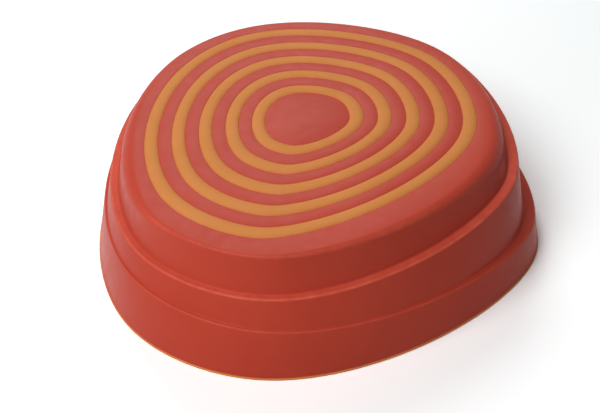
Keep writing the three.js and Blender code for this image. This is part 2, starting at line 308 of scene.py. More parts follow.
def add_node(tree, kind, inputs, **settings):
    """A node of a shape tree or a material, with its settings, and its inputs set or linked."""
    node = tree.nodes.new(kind)
    for name, value in settings.items():
        setattr(node, name, value)
    for key, value in inputs.items():
        if isinstance(value, bpy.types.NodeSocket):
            tree.links.new(value, node.inputs[key])
        else:
            node.inputs[key].default_value = value
    return node


def sum_of(tree, operation, *values):
    """The result of one step of arithmetic on sockets or numbers."""
    return add_node(tree, "ShaderNodeMath", dict(enumerate(values)), operation=operation).outputs[0]


def close_tree(tree, body, material):
    """The end of a shape tree: its copies are made real and get their material."""
    body = add_node(tree, "GeometryNodeRealizeInstances", {"Geometry": body.outputs[0]})
    body = add_node(tree, "GeometryNodeSetMaterial", {"Geometry": body.outputs[0], "Material": material})
    add_node(tree, "NodeGroupOutput", {"Body": body.outputs[0]})


def add_sockets(tree, in_out, sockets):
    for name, kind in sockets:
        tree.interface.new_socket(name=name, in_out=in_out, socket_type=kind)


def wave_sums(tree, angle, waves):
    """How far a set of waves stands out at an angle, as a share of the radius, and how fast that turns."""
    height = 0
    turn = 0
    for wave in waves:
        offset = -wave.lobes * math.radians(wave.crest_degrees)
        phase = sum_of(tree, "MULTIPLY_ADD", angle, wave.lobes, offset)
        height = sum_of(tree, "MULTIPLY_ADD", sum_of(tree, "COSINE", phase), wave.height_share, height)
        slope_share = -wave.lobes * wave.height_share
        turn = sum_of(tree, "MULTIPLY_ADD", sum_of(tree, "SINE", phase), slope_share, turn)
    return height, turn


# Tree that gives the point where an outline's tangent faces an angle, and the room for corners there
outline = bpy.data.node_groups.new("hill outline", "GeometryNodeTree")
add_sockets(outline, "INPUT", [
    ("Angle", "NodeSocketFloat"),
    ("Radius", "NodeSocketFloat"),
    ("Wave radius", "NodeSocketFloat"),
    ("Ring share", "NodeSocketFloat"),
    ("Foot share", "NodeSocketFloat"),
    ("Right", "NodeSocketFloat"),
    ("Back", "NodeSocketFloat"),
])
add_sockets(outline, "OUTPUT", [
    ("Across", "NodeSocketFloat"),
    ("Along", "NodeSocketFloat"),
    ("Outward across", "NodeSocketFloat"),
    ("Outward along", "NodeSocketFloat"),
    ("Upper ledge width", "NodeSocketFloat"),
    ("Lower ledge width", "NodeSocketFloat"),
    ("Deck edge room", "NodeSocketFloat"),
    ("Deck edge size share", "NodeSocketFloat"),
    ("Deck edge growth", "NodeSocketFloat"),
])
given = outline.nodes.new("NodeGroupInput").outputs
angle = given["Angle"]
cosine = sum_of(outline, "COSINE", angle)
sine = sum_of(outline, "SINE", angle)
shared_height, shared_turn = wave_sums(outline, angle, shared_waves)
ring_height, ring_turn = wave_sums(outline, angle, ring_waves)
tier_height, tier_turn = wave_sums(outline, angle, tier_waves)
foot_height, foot_turn = wave_sums(outline, angle, foot_waves)
edge_height = wave_sums(outline, angle, deck_edge_waves)[0]
growth_height = wave_sums(outline, angle, deck_growth_waves)[0]
ring_over_tier = sum_of(outline, "SUBTRACT", ring_height, tier_height)
foot_over_tier = sum_of(outline, "SUBTRACT", foot_height, tier_height)
height = sum_of(outline, "ADD", shared_height, tier_height)
height = sum_of(outline, "MULTIPLY_ADD", ring_over_tier, given["Ring share"], height)
height = sum_of(outline, "MULTIPLY_ADD", foot_over_tier, given["Foot share"], height)
turn = sum_of(outline, "ADD", shared_turn, tier_turn)
turn_over_tier = sum_of(outline, "SUBTRACT", ring_turn, tier_turn)
turn = sum_of(outline, "MULTIPLY_ADD", turn_over_tier, given["Ring share"], turn)
turn_over_tier = sum_of(outline, "SUBTRACT", foot_turn, tier_turn)
turn = sum_of(outline, "MULTIPLY_ADD", turn_over_tier, given["Foot share"], turn)
reach = sum_of(outline, "MULTIPLY_ADD", height, given["Wave radius"], given["Radius"])
reach = sum_of(outline, "MULTIPLY_ADD", given["Right"], cosine, reach)
reach = sum_of(outline, "MULTIPLY_ADD", given["Back"], sine, reach)
sway = sum_of(outline, "MULTIPLY", turn, given["Wave radius"])
sway = sum_of(outline, "MULTIPLY_ADD", given["Back"], cosine, sway)
sway = sum_of(outline, "SUBTRACT", sway, sum_of(outline, "MULTIPLY", given["Right"], sine))
reach_across = sum_of(outline, "MULTIPLY", reach, cosine)
reach_along = sum_of(outline, "MULTIPLY", reach, sine)
across = sum_of(outline, "SUBTRACT", reach_across, sum_of(outline, "MULTIPLY", sway, sine))
along = sum_of(outline, "ADD", reach_along, sum_of(outline, "MULTIPLY", sway, cosine))


def width_between(lower, upper, width):
    """Room between two level lines, from their centres and their mean distance."""
    result = sum_of(outline, "MULTIPLY_ADD", cosine, lower.right - upper.right, width)
    return sum_of(outline, "MULTIPLY_ADD", sine, lower.back - upper.back, result)


crease_wave_radius = field_radius * upper_crease_form.ring_share
deck_wave_radius = field_radius * (1 - upper_form.ring_share)
deck_border = deck_radius - field_radius - ring_clearance - deck_edge_margin
upper_width = width_between(middle_form, upper_crease_form, upper_ledge_width)
upper_width = sum_of(outline, "MULTIPLY_ADD", ring_over_tier, -crease_wave_radius, upper_width)
lower_width = width_between(lower_form, middle_form, lower_ledge_width)
lower_width = sum_of(outline, "MULTIPLY_ADD", foot_over_tier, field_radius, lower_width)
deck_room = width_between(upper_form, ring_form, deck_border)
deck_room = sum_of(outline, "MULTIPLY_ADD", ring_over_tier, -deck_wave_radius, deck_room)
deck_growth = sum_of(outline, "ADD", growth_height, deck_growth_share)
add_node(outline, "NodeGroupOutput", {
    "Across": across,
    "Along": along,
    "Outward across": cosine,
    "Outward along": sine,
    "Upper ledge width": upper_width,
    "Lower ledge width": lower_width,
    "Deck edge room": deck_room,
    "Deck edge size share": sum_of(outline, "ADD", edge_height, 1),
    "Deck edge growth": sum_of(outline, "MAXIMUM", deck_growth, 1),
})

# Tree that sweeps a section round the hill: each station takes the section's rows onto their outlines
sweep = bpy.data.node_groups.new("section round the hill", "GeometryNodeTree")
add_sockets(sweep, "INPUT", [
    ("Section", "NodeSocketGeometry"),
    ("Stations", "NodeSocketInt"),
    ("Deck level", "NodeSocketFloat"),
    ("Rings right", "NodeSocketFloat"),
    ("Rings back", "NodeSocketFloat"),
    ("Corner width share", "NodeSocketFloat"),
    ("Least corner", "NodeSocketFloat"),
    ("Upper tier height", "NodeSocketFloat"),
    ("Upper cove height", "NodeSocketFloat"),
    ("Material", "NodeSocketMaterial"),
])
add_sockets(sweep, "OUTPUT", [("Body", "NodeSocketGeometry")])
given = sweep.nodes.new("NodeGroupInput").outputs
section_size = add_node(sweep, "GeometryNodeAttributeDomainSize", {"Geometry": given["Section"]})
row_count = section_size.outputs["Point Count"]
grid = add_node(sweep, "GeometryNodeMeshGrid", {
    "Size X": 1.0,
    "Size Y": 1.0,
    "Vertices X": sum_of(sweep, "ADD", given["Stations"], 1),
    "Vertices Y": row_count,
})
position = sweep.nodes.new("GeometryNodeInputPosition").outputs[0]
place = add_node(sweep, "ShaderNodeSeparateXYZ", {0: position}).outputs
angle = sum_of(sweep, "MULTIPLY_ADD", place["X"], full_turn, math.pi)
last_row = sum_of(sweep, "SUBTRACT", row_count, 1)
row_number = sum_of(sweep, "MULTIPLY", sum_of(sweep, "ADD", place["Y"], 0.5), last_row)
row_index = add_node(sweep, "FunctionNodeFloatToInt", {0: row_number}, rounding_mode="ROUND").outputs[0]
of_row = {}
for name in shell_rows[0]:
    stored = add_node(sweep, "GeometryNodeInputNamedAttribute", {"Name": name}, data_type="FLOAT")
    sample = add_node(sweep, "GeometryNodeSampleIndex", {
        "Geometry": given["Section"],
        "Value": stored.outputs["Attribute"],
        "Index": row_index,
    }, data_type="FLOAT", domain="POINT")
    of_row[name] = sample.outputs["Value"]
found = add_node(sweep, "GeometryNodeGroup", {}, node_tree=outline)
for key, value in {
    "Angle": angle,
    "Radius": of_row["radius"],
    "Wave radius": of_row["wave_radius"],
    "Ring share": of_row["ring_share"],
    "Foot share": of_row["foot_share"],
    "Right": of_row["right"],
    "Back": of_row["back"],
}.items():
    sweep.links.new(value, found.inputs[key])
found = found.outputs
tilt = sum_of(sweep, "MULTIPLY", found["Across"], of_row["slope_right"])
tilt = sum_of(sweep, "MULTIPLY_ADD", found["Along"], of_row["slope_back"], tilt)
crease_rise = sum_of(sweep, "MULTIPLY", found["Across"], upper_slope.right)
crease_rise = sum_of(sweep, "MULTIPLY_ADD", found["Along"], upper_slope.back, crease_rise)
wall_room = sum_of(sweep, "SUBTRACT", given["Upper tier height"], given["Upper cove height"])
wall_room = sum_of(sweep, "SUBTRACT", wall_room, crease_rise)
upper_corner = sum_of(sweep, "MULTIPLY", found["Upper ledge width"], given["Corner width share"])
lower_corner = sum_of(sweep, "MULTIPLY", found["Lower ledge width"], given["Corner width share"])
deck_corner = sum_of(sweep, "MINIMUM", found["Deck edge room"], wall_room)
deck_size = sum_of(sweep, "MULTIPLY", of_row["corner_size"], found["Deck edge size share"])
deck_size = sum_of(sweep, "MULTIPLY", deck_size, found["Deck edge growth"])
room = add_node(sweep, "GeometryNodeIndexSwitch", {}, data_type="FLOAT")
room.index_switch_items.new()
room.index_switch_items.new()
room_index = add_node(sweep, "FunctionNodeFloatToInt", {0: of_row["corner_room"]}, rounding_mode="ROUND")
sweep.links.new(room_index.outputs[0], room.inputs["Index"])
limits = {UPPER_LEDGE: upper_corner, LOWER_LEDGE: lower_corner, DECK_EDGE: deck_corner}
for corner_room, limit in limits.items():
    sweep.links.new(limit, room.inputs[str(corner_room)])
is_deck_edge = sum_of(sweep, "COMPARE", of_row["corner_room"], DECK_EDGE, 0.5)
wanted = add_node(sweep, "GeometryNodeSwitch", {
    "Switch": is_deck_edge,
    "False": of_row["corner_size"],
    "True": deck_size,
}, input_type="FLOAT").outputs[0]
corner = sum_of(sweep, "MINIMUM", wanted, room.outputs[0])
corner = sum_of(sweep, "SUBTRACT", corner, of_row["corner_wall"])
corner = sum_of(sweep, "MAXIMUM", corner, given["Least corner"])
lean = sum_of(sweep, "MULTIPLY", tilt, of_row["draft_share"])
out = sum_of(sweep, "SUBTRACT", sum_of(sweep, "MULTIPLY", corner, of_row["corner_out_share"]), lean)
point_across = sum_of(sweep, "MULTIPLY_ADD", out, found["Outward across"], found["Across"])
point_along = sum_of(sweep, "MULTIPLY_ADD", out, found["Outward along"], found["Along"])
level = sum_of(sweep, "SUBTRACT", given["Deck level"], of_row["depth"])
level = sum_of(sweep, "ADD", level, tilt)
level = sum_of(sweep, "SUBTRACT", level, sum_of(sweep, "MULTIPLY", corner, of_row["corner_down_share"]))
point = add_node(sweep, "ShaderNodeCombineXYZ", {
    "X": sum_of(sweep, "ADD", point_across, given["Rings right"]),
    "Y": sum_of(sweep, "ADD", point_along, given["Rings back"]),
    "Z": level,
}).outputs[0]
# Each point keeps its row's share of painted light; along the deck's edge the painted highlight fades where
# the rounding grows.
highlight_fade_share = add_node(sweep, "GeometryNodeSwitch", {
    "Switch": is_deck_edge,
    "False": 1.0,
    "True": sum_of(sweep, "POWER", found["Deck edge growth"], -deck_highlight_fade_power),
}, input_type="FLOAT").outputs[0]
body = add_node(sweep, "GeometryNodeStoreNamedAttribute", {
    "Geometry": grid.outputs["Mesh"],
    "Name": "edge_share",
    "Value": sum_of(sweep, "MULTIPLY", of_row["edge_share"], highlight_fade_share),
}, data_type="FLOAT", domain="POINT")
body = add_node(sweep, "GeometryNodeSetPosition", {"Geometry": body.outputs[0], "Position": point})
body = add_node(sweep, "GeometryNodeMergeByDistance", {
    "Geometry": body.outputs[0], "Distance": merge_distance,
})
close_tree(sweep, body, given["Material"])


def section_mesh(name, rows):
    """The rows as a chain of points that carries their sizes."""
    mesh = bpy.data.meshes.new(name)
    points = [(0, 0, place) for place in range(len(rows))]
    mesh.from_pydata(points, [(place, place + 1) for place in range(len(rows) - 1)], [])
    for field in rows[0]:
        values = mesh.attributes.new(field, "FLOAT", "POINT")
        values.data.foreach_set("value", [row[field] for row in rows])
    return mesh


def shape_by_tree(name, mesh, tree, sizes, sharp_degrees):
    """A piece whose mesh a tree makes from a starting mesh and named sizes."""
    piece = bpy.data.objects.new(name, mesh)
    bpy.context.scene.collection.objects.link(piece)
    modifier = piece.modifiers.new("shape", "NODES")
    modifier.node_group = tree
    for item in tree.interface.items_tree:
        if item.in_out == "INPUT" and item.name in sizes:
            modifier[item.identifier] = sizes[item.name]
    bpy.context.view_layer.update()
    shaped = piece.evaluated_get(bpy.context.evaluated_depsgraph_get())
    result = bpy.data.meshes.new_from_object(shaped)
    piece.modifiers.clear()
    piece.data = result
    result.name = name
    result.shade_smooth()
    result.set_sharp_from_angle(angle=math.radians(sharp_degrees))
    return piece


def swept_piece(name, rows, stations, material):
    """A body with one section all the way round the hill."""
    return shape_by_tree(name, section_mesh(name, rows), sweep, {
        "Stations": stations,
        "Deck level": deck_level,
        "Rings right": rings_right,
        "Rings back": rings_back,
        "Corner width share": corner_width_share,
        "Least corner": least_corner,
        "Upper tier height": upper_tier_height,
        "Upper cove height": upper_cove_height,
        "Material": material,
    }, shell_sharp_degrees)


def colour(red, green, blue):
    """A colour as it is read off a swatch, from 0 to 255, made linear."""
    result = []
    for value in (red, green, blue):
        share = value / 255
        result.append(share / 12.92 if share <= 0.04045 else ((share + 0.055) / 1.055) ** 2.4)
    return (*result, 1)


def mixed_tone(tree, share, first, second):
    """A colour between two others."""
    return add_node(tree, "ShaderNodeMix", {0: share, 6: first, 7: second}, data_type="RGBA").outputs[2]


patch_scale = 14
streak_scale = 95
roughness_spread = 0.05
grain_depth = 0.0001


def moulded_finish(name, tones, painted_light_tone, roughness, gloss, grain_scale):
    """A moulded surface: two close tones in soft patches, a third tone of painted light along edges (a
    painted highlight on the plastic, painted shade on the rubber), and a fine grain.
    """
    material = bpy.data.materials.new(name)
    material.use_nodes = True
    tree = material.node_tree
    tree.nodes.clear()
    where = tree.nodes.new("ShaderNodeTexCoord").outputs["Object"]
    patches = add_node(tree, "ShaderNodeTexNoise", {
        "Vector": where, "Scale": patch_scale, "Detail": 4, "Roughness": 0.55,
    })
    streaks = add_node(tree, "ShaderNodeTexNoise", {
        "Vector": where, "Scale": streak_scale, "Detail": 3, "Roughness": 0.6,
    })
    patch_share = add_node(tree, "ShaderNodeMapRange", {
        "Value": patches.outputs["Fac"], "From Min": 0.32, "From Max": 0.68,
    }).outputs[0]
    base = mixed_tone(tree, patch_share, tones[0], tones[1])
    # The edge tone is painted light: a painted highlight on the plastic's edges, painted shade on the
    # rubber's edges.
    edge = add_node(tree, "ShaderNodeAttribute", {}, attribute_name="edge_share").outputs["Fac"]
    streak_share = add_node(tree, "ShaderNodeMapRange", {
        "Value": streaks.outputs["Fac"], "From Min": 0.3, "From Max": 0.7, "To Min": 0.35, "To Max": 1,
    }).outputs[0]
    tone = mixed_tone(tree, sum_of(tree, "MULTIPLY", edge, streak_share), base, painted_light_tone)
    grain = add_node(tree, "ShaderNodeTexNoise", {
        "Vector": where, "Scale": grain_scale, "Detail": 2, "Roughness": 0.7,
    })
    rough = add_node(tree, "ShaderNodeMapRange", {
        "Value": streaks.outputs["Fac"], "From Min": 0.3, "From Max": 0.7,
        "To Min": roughness - roughness_spread, "To Max": roughness + roughness_spread,
    }).outputs[0]
    bump = add_node(tree, "ShaderNodeBump", {
        "Height": grain.outputs["Fac"], "Distance": grain_depth, "Strength": 0.6,
    })
    shader = add_node(tree, "ShaderNodeBsdfPrincipled", {
        "Base Color": tone,
        "Roughness": rough,
        "Normal": bump.outputs[0],
        "Specular IOR Level": gloss,
    })
    add_node(tree, "ShaderNodeOutputMaterial", {"Surface": shader.outputs[0]})
    return material


# The paler third tone is a painted highlight along the deck's edge, the ledges' treads and lips, the groove
# edges and the foot's corner.
red_plastic = moulded_finish(
    "red satin plastic",
    (colour(191, 65, 46), colour(196, 70, 51)),
    colour(226, 104, 82),
    roughness=0.4,
    gloss=0.088,
    grain_scale=1500,
)
shell_stations = 240
shell = swept_piece("hill_shell", shell_rows, shell_stations, red_plastic)
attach(shell, "root")
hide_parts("shell")

# Ribs under the deck keep it stiff: a hub ring in the middle and straight ribs from it to the walls.
# They belong to the same moulding as the shell, with tapered sides and rounded tips.
rib_count = 6
rib_root = 0.0026
rib_tip = 0.0018
rib_depth = 0.009
rib_embed = 0.001
rib_fillet = 0.0016
rib_corner_steps = 4
rib_ray_drop = 0.0005
hub_radius = 0.024
hub_sides = 96
small_part_sharp_degrees = 50
under_deck = deck_level - deck_thickness


def rib_mesh(name):
    """One rib from the hub outwards, one metre long until it is cut to the wall."""
    half = rib_root / 2
    tip = rib_tip / 2
    side = [(half + rib_fillet, rib_embed), (half + rib_fillet, 0)]
    for turn in quarter_steps(rib_corner_steps)[1:]:
        side.append((half + rib_fillet * (1 - math.sin(turn)), -rib_fillet * (1 - math.cos(turn))))
    for turn in quarter_steps(rib_corner_steps):
        side.append((tip * math.cos(turn), -rib_depth + tip * (1 - math.sin(turn))))
    outline_points = side + [(-across, up) for across, up in reversed(side[:-1])]
    start = hub_radius + rib_root / 2
    points = []
    for reach in (start, start + 1):
        points += [(reach, across, under_deck + up) for across, up in outline_points]
    count = len(outline_points)
    faces = [tuple(range(count)), tuple(range(2 * count - 1, count - 1, -1))]
    for place in range(count):
        after = (place + 1) % count
        faces.append((place, place + count, after + count, after))
    mesh = bpy.data.meshes.new(name)
    mesh.from_pydata(points, [], faces)
    at_wall = mesh.attributes.new("at_wall_share", "FLOAT", "POINT")
    at_wall.data.foreach_set("value", [0] * count + [1] * count)
    return mesh


def vector_of(tree, operation, inputs):
    """The result of one step of arithmetic on vectors."""
    return add_node(tree, "ShaderNodeVectorMath", inputs, operation=operation).outputs[0]


# Tree that copies a rib round the hub and stretches each copy to the inside of the wall that it meets
rib_tree = bpy.data.node_groups.new("ribs from the hub to the walls", "GeometryNodeTree")
add_sockets(rib_tree, "INPUT", [
    ("Rib", "NodeSocketGeometry"),
    ("Count", "NodeSocketInt"),
    ("Rings right", "NodeSocketFloat"),
    ("Rings back", "NodeSocketFloat"),
    ("Hub radius", "NodeSocketFloat"),
    ("Underside level", "NodeSocketFloat"),
    ("Ray drop", "NodeSocketFloat"),
    ("Embed", "NodeSocketFloat"),
    ("Shell", "NodeSocketObject"),
    ("Material", "NodeSocketMaterial"),
])
add_sockets(rib_tree, "OUTPUT", [("Body", "NodeSocketGeometry")])
given = rib_tree.nodes.new("NodeGroupInput").outputs
middle = add_node(rib_tree, "ShaderNodeCombineXYZ", {
    "X": given["Rings right"], "Y": given["Rings back"],
}).outputs[0]
spots = add_node(rib_tree, "GeometryNodePoints", {"Count": given["Count"], "Position": middle}).outputs[0]
index = rib_tree.nodes.new("GeometryNodeInputIndex").outputs[0]
step = sum_of(rib_tree, "DIVIDE", full_turn, given["Count"])
spin = add_node(rib_tree, "ShaderNodeCombineXYZ", {"Z": sum_of(rib_tree, "MULTIPLY", index, step)}).outputs[0]
body = add_node(rib_tree, "GeometryNodeInstanceOnPoints", {
    "Points": spots, "Instance": given["Rib"], "Rotation": spin,
})
body = add_node(rib_tree, "GeometryNodeRealizeInstances", {"Geometry": body.outputs[0]})
at = rib_tree.nodes.new("GeometryNodeInputPosition").outputs[0]
flat = vector_of(rib_tree, "MULTIPLY", {0: vector_of(rib_tree, "SUBTRACT", {0: at, 1: middle}), 1: (1, 1, 0)})
heading = vector_of(rib_tree, "NORMALIZE", {0: flat})
height = add_node(rib_tree, "ShaderNodeSeparateXYZ", {0: at}).outputs["Z"]
highest_ray = sum_of(rib_tree, "SUBTRACT", given["Underside level"], given["Ray drop"])
ray_rise = add_node(rib_tree, "ShaderNodeCombineXYZ", {"Z": sum_of(rib_tree, "MINIMUM", height, highest_ray)})
start = vector_of(rib_tree, "SCALE", {0: heading, "Scale": given["Hub radius"]})
start = vector_of(rib_tree, "ADD", {0: start, 1: middle})
start = vector_of(rib_tree, "ADD", {0: start, 1: ray_rise.outputs[0]})
target = add_node(rib_tree, "GeometryNodeObjectInfo", {"Object": given["Shell"]}, transform_space="RELATIVE")
hit = add_node(rib_tree, "GeometryNodeRaycast", {
    "Target Geometry": target.outputs["Geometry"],
    "Source Position": start,
    "Ray Direction": heading,
    "Ray Length": 1.0,
})
embed = vector_of(rib_tree, "SCALE", {0: heading, "Scale": given["Embed"]})
met = vector_of(rib_tree, "ADD", {0: hit.outputs["Hit Position"], 1: embed})
met = add_node(rib_tree, "ShaderNodeSeparateXYZ", {0: met}).outputs
end = add_node(rib_tree, "ShaderNodeCombineXYZ", {"X": met["X"], "Y": met["Y"], "Z": height}).outputs[0]
at_wall = add_node(rib_tree, "GeometryNodeInputNamedAttribute", {"Name": "at_wall_share"}, data_type="FLOAT")
chosen = sum_of(rib_tree, "GREATER_THAN", at_wall.outputs["Attribute"], 0.5)
body = add_node(rib_tree, "GeometryNodeSetPosition", {
    "Geometry": body.outputs[0], "Selection": chosen, "Position": end,
})
close_tree(rib_tree, body, given["Material"])
ribs = shape_by_tree("deck_ribs", rib_mesh("deck_ribs"), rib_tree, {
    "Count": rib_count,
    "Rings right": rings_right,
    "Rings back": rings_back,
    "Hub radius": hub_radius,
    "Underside level": under_deck,
    "Ray drop": rib_ray_drop,
    "Embed": rib_embed,
    "Shell": shell,
    "Material": red_plastic,
}, small_part_sharp_degrees)
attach(ribs, "root")
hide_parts("shell")


def turned_mesh(name, profile, sides, middle, material):
    """A round body about an upright axis, from its radii and heights, closed at both ends."""
    points = []
    for radius, height in profile:
        for side in range(sides):
            angle = full_turn * side / sides
            across = middle[0] + radius * math.cos(angle)
            along = middle[1] + radius * math.sin(angle)
            points.append((across, along, height))
    faces = []
    for row in range(len(profile) - 1):
        for side in range(sides):
            after = (side + 1) % sides
            start = row * sides
            faces.append((start + side, start + after, start + sides + after, start + sides + side))
    if profile[0] == profile[-1]:
        points = points[:-sides]
        count = len(points)
        faces = [tuple(corner % count for corner in face) for face in faces]
    else:
        faces.append(tuple(reversed(range(sides))))
        faces.append(tuple(range(len(points) - sides, len(points))))
    mesh = bpy.data.meshes.new(name)
    mesh.from_pydata(points, [], faces)
    mesh.materials.append(material)
    mesh.shade_smooth()
    mesh.set_sharp_from_angle(angle=math.radians(small_part_sharp_degrees))
    return mesh


hub_tip = (rib_root - rib_tip) / 2
hub_inner = [(-rib_fillet, under_deck + rib_embed)]
for turn in quarter_steps(rib_corner_steps):
    hub_inner.append((-rib_fillet * (1 - math.sin(turn)), under_deck - rib_fillet * (1 - math.cos(turn))))
for turn in quarter_steps(rib_corner_steps):
    inset = hub_tip + rib_tip / 2 * (1 - math.cos(turn))
    hub_inner.append((inset, under_deck - rib_depth + rib_tip / 2 * (1 - math.sin(turn))))
hub_profile = [(hub_radius + inset, height) for inset, height in hub_inner]
hub_profile += [(hub_radius + rib_root - inset, height) for inset, height in hub_inner[-2::-1]]
hub_profile.append(hub_profile[0])
hub_mesh = turned_mesh("deck_hub", hub_profile, hub_sides, (rings_right, rings_back), red_plastic)
hub = bpy.data.objects.new("deck_hub", hub_mesh)
bpy.context.scene.collection.objects.link(hub)
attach(hub, "root")
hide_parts("shell")

# The five grip rings are matte orange rubber with a crowned top, moulded as loops of the hill's outline.
# Each lies in its own groove, a little proud of the deck,
# and is held by anchors that are pushed through the deck from above.
ring_crown = 0.0009
ring_side_drop = 0.0002
ring_crown_power = 2.4
# How the rings' painted shade grows towards the crown's edges and lies on their sides
ring_crown_shade_power = 5
ring_side_shade_share = 0.6
ring_steps = 20
ring_foot = 0.0006
inner_ring_count = 2
inner_anchor_count = 3
outer_anchor_count = 6
anchor_radius = 0.0025
anchor_head_radius = 0.0045
anchor_head_thickness = 0.0016
anchor_head_taper = 0.0012
anchor_rounding = 0.0003
anchor_sides = 24
ring_stations = 240


def ring_rows(ring):
    """A ring's section: flat underneath, upright sides, and a top that is crowned towards its middle, with
    painted shade on the sides and towards the crown's edges.
    """
    inner = island_radius + ring * ring_pitch
    middle = inner + ring_width / 2
    half = ring_width / 2
    rise = ring_crown + ring_side_drop
    rows = [
        ring_row(inner + ring_foot, groove_depth),
        ring_row(inner, groove_depth - ring_foot, ring_side_shade_share),
    ]
    for step in range(ring_steps + 1):
        share = -math.cos(math.pi * step / ring_steps)
        up = rise * (1 - abs(share) ** ring_crown_power)
        rows.append(ring_row(middle + half * share, ring_side_drop - up, abs(share) ** ring_crown_shade_power))
    rows.append(ring_row(inner + ring_width, groove_depth - ring_foot, ring_side_shade_share))
    rows.append(ring_row(inner + ring_width - ring_foot, groove_depth))
    rows.append(rows[0])
    return rows


def anchor_mesh(name, material):
    """One anchor on an upright axis through the origin: a stem, and a tapered head under the deck."""
    head_top = under_deck - fit_clearance
    head_bottom = head_top - anchor_head_thickness
    return turned_mesh(name, [
        (anchor_head_radius - anchor_head_taper - anchor_rounding, head_bottom),
        (anchor_head_radius - anchor_head_taper, head_bottom + anchor_rounding),
        (anchor_head_radius, head_top - anchor_rounding),
        (anchor_head_radius - anchor_rounding, head_top),
        (anchor_radius, head_top),
        (anchor_radius, deck_level - groove_depth + anchor_rounding),
    ], anchor_sides, (0, 0), material)


# Tree that sets copies of a part at equal angles on one of the hill's outlines
along_outline = bpy.data.node_groups.new("copies along an outline", "GeometryNodeTree")
add_sockets(along_outline, "INPUT", [
    ("Part", "NodeSocketGeometry"),
    ("Count", "NodeSocketInt"),
    ("First angle", "NodeSocketFloat"),
    ("Radius", "NodeSocketFloat"),
    ("Rings right", "NodeSocketFloat"),
    ("Rings back", "NodeSocketFloat"),
    ("Material", "NodeSocketMaterial"),
])
add_sockets(along_outline, "OUTPUT", [("Body", "NodeSocketGeometry")])
given = along_outline.nodes.new("NodeGroupInput").outputs
index = along_outline.nodes.new("GeometryNodeInputIndex").outputs[0]
step = sum_of(along_outline, "DIVIDE", full_turn, given["Count"])
found = add_node(along_outline, "GeometryNodeGroup", {}, node_tree=outline)
angle = sum_of(along_outline, "MULTIPLY_ADD", index, step, given["First angle"])
along_outline.links.new(angle, found.inputs["Angle"])
along_outline.links.new(given["Radius"], found.inputs["Radius"])
along_outline.links.new(given["Radius"], found.inputs["Wave radius"])
found.inputs["Ring share"].default_value = 1
spot = add_node(along_outline, "ShaderNodeCombineXYZ", {
    "X": sum_of(along_outline, "ADD", found.outputs["Across"], given["Rings right"]),
    "Y": sum_of(along_outline, "ADD", found.outputs["Along"], given["Rings back"]),
}).outputs[0]
spots = add_node(along_outline, "GeometryNodePoints", {"Count": given["Count"], "Position": spot}).outputs[0]
body = add_node(along_outline, "GeometryNodeInstanceOnPoints", {"Points": spots, "Instance": given["Part"]})
close_tree(along_outline, body, given["Material"])


# The darker third tone is painted shade on the rings' sides and the edges of their crowns.
ring_rubber = moulded_finish(
    "orange ring rubber",
    (colour(214, 134, 66), colour(220, 140, 72)),
    colour(206, 118, 56),
    roughness=0.68,
    gloss=0.2,
    grain_scale=2200,
)
for ring in range(ring_count):
    loop = swept_piece("grip_loop_%d" % (ring + 1), ring_rows(ring), ring_stations, ring_rubber)
    anchor_name = "ring_anchors_%d" % (ring + 1)
    anchors = shape_by_tree(anchor_name, anchor_mesh(anchor_name, ring_rubber), along_outline, {
        "Count": inner_anchor_count if ring < inner_ring_count else outer_anchor_count,
        "First angle": full_turn / rib_count / 2,
        "Radius": island_radius + ring * ring_pitch + ring_width / 2,
        "Rings right": rings_right,
        "Rings back": rings_back,
        "Material": ring_rubber,
    }, small_part_sharp_degrees)
    for piece in (loop, anchors):
        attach(piece, "root")
        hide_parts("grip_ring_%d" % (ring + 1))

# The rim is a rubber strip round the foot, which keeps the hill from sliding and marking a floor.
# Its sole lies under the wall's edge and stands a little proud of it,
# and its lip goes up inside the wall, where a bead snaps into the shell's groove.
rim_proud = 0.0004
rim_edge = 0.0006
rim_lip_thickness = 0.003
rim_lip_height = 0.010
# Shares of painted shade on the rim's rounded corners and its outer side
rim_round_shade_share = 0.4
rim_outer_shade_share = 0.6
rim_stations = 240
lip_outer = wall_thickness + fit_clearance
lip_inner = lip_outer + rim_lip_thickness

rim_rows = []
for turn in quarter_steps(small_corner_steps):
    inset = rim_edge * (1 - math.sin(turn)) - rim_proud
    rim_rows.append(foot_row(inset, rim_edge * (1 - math.cos(turn)), rim_round_shade_share))
rim_rows.append(foot_row(-rim_proud, rim_thickness - rim_edge / 3, rim_outer_shade_share))
rim_rows.append(foot_row(rim_edge / 3 - rim_proud, rim_thickness, rim_outer_shade_share))
rim_rows.append(foot_row(lip_outer, rim_thickness))
for out_share, up_share in ((0, 0), (2 / 3, 0), (1, 1 / 3), (1, 2 / 3), (2 / 3, 1), (0, 1)):
    rim_rows.append(foot_row(lip_outer - bead_depth * out_share, bead_bottom + bead_height * up_share))
for turn in quarter_steps(small_corner_steps):
    inset = lip_outer + rim_edge * (1 - math.cos(turn))
    rim_rows.append(foot_row(inset, rim_lip_height - rim_edge * (1 - math.sin(turn)), rim_round_shade_share))
for turn in quarter_steps(small_corner_steps):
    inset = lip_inner - rim_edge * (1 - math.sin(turn))
    rim_rows.append(foot_row(inset, rim_lip_height - rim_edge * (1 - math.cos(turn)), rim_round_shade_share))
for turn in quarter_steps(small_corner_steps):
    inset = lip_inner - rim_edge * (1 - math.cos(turn))
    rim_rows.append(foot_row(inset, rim_edge * (1 - math.sin(turn)), rim_round_shade_share))
rim_rows.append(rim_rows[0])
# The darker third tone is painted shade on the rim's rounded corners and outer side.
rim_rubber = moulded_finish(
    "orange rim rubber",
    (colour(222, 142, 80), colour(226, 148, 86)),
    colour(214, 128, 70),
    roughness=0.7,
    gloss=0.2,
    grain_scale=2000,
)
rim = swept_piece("foot_rim", rim_rows, rim_stations, rim_rubber)
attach(rim, "root")
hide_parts("base_rim")

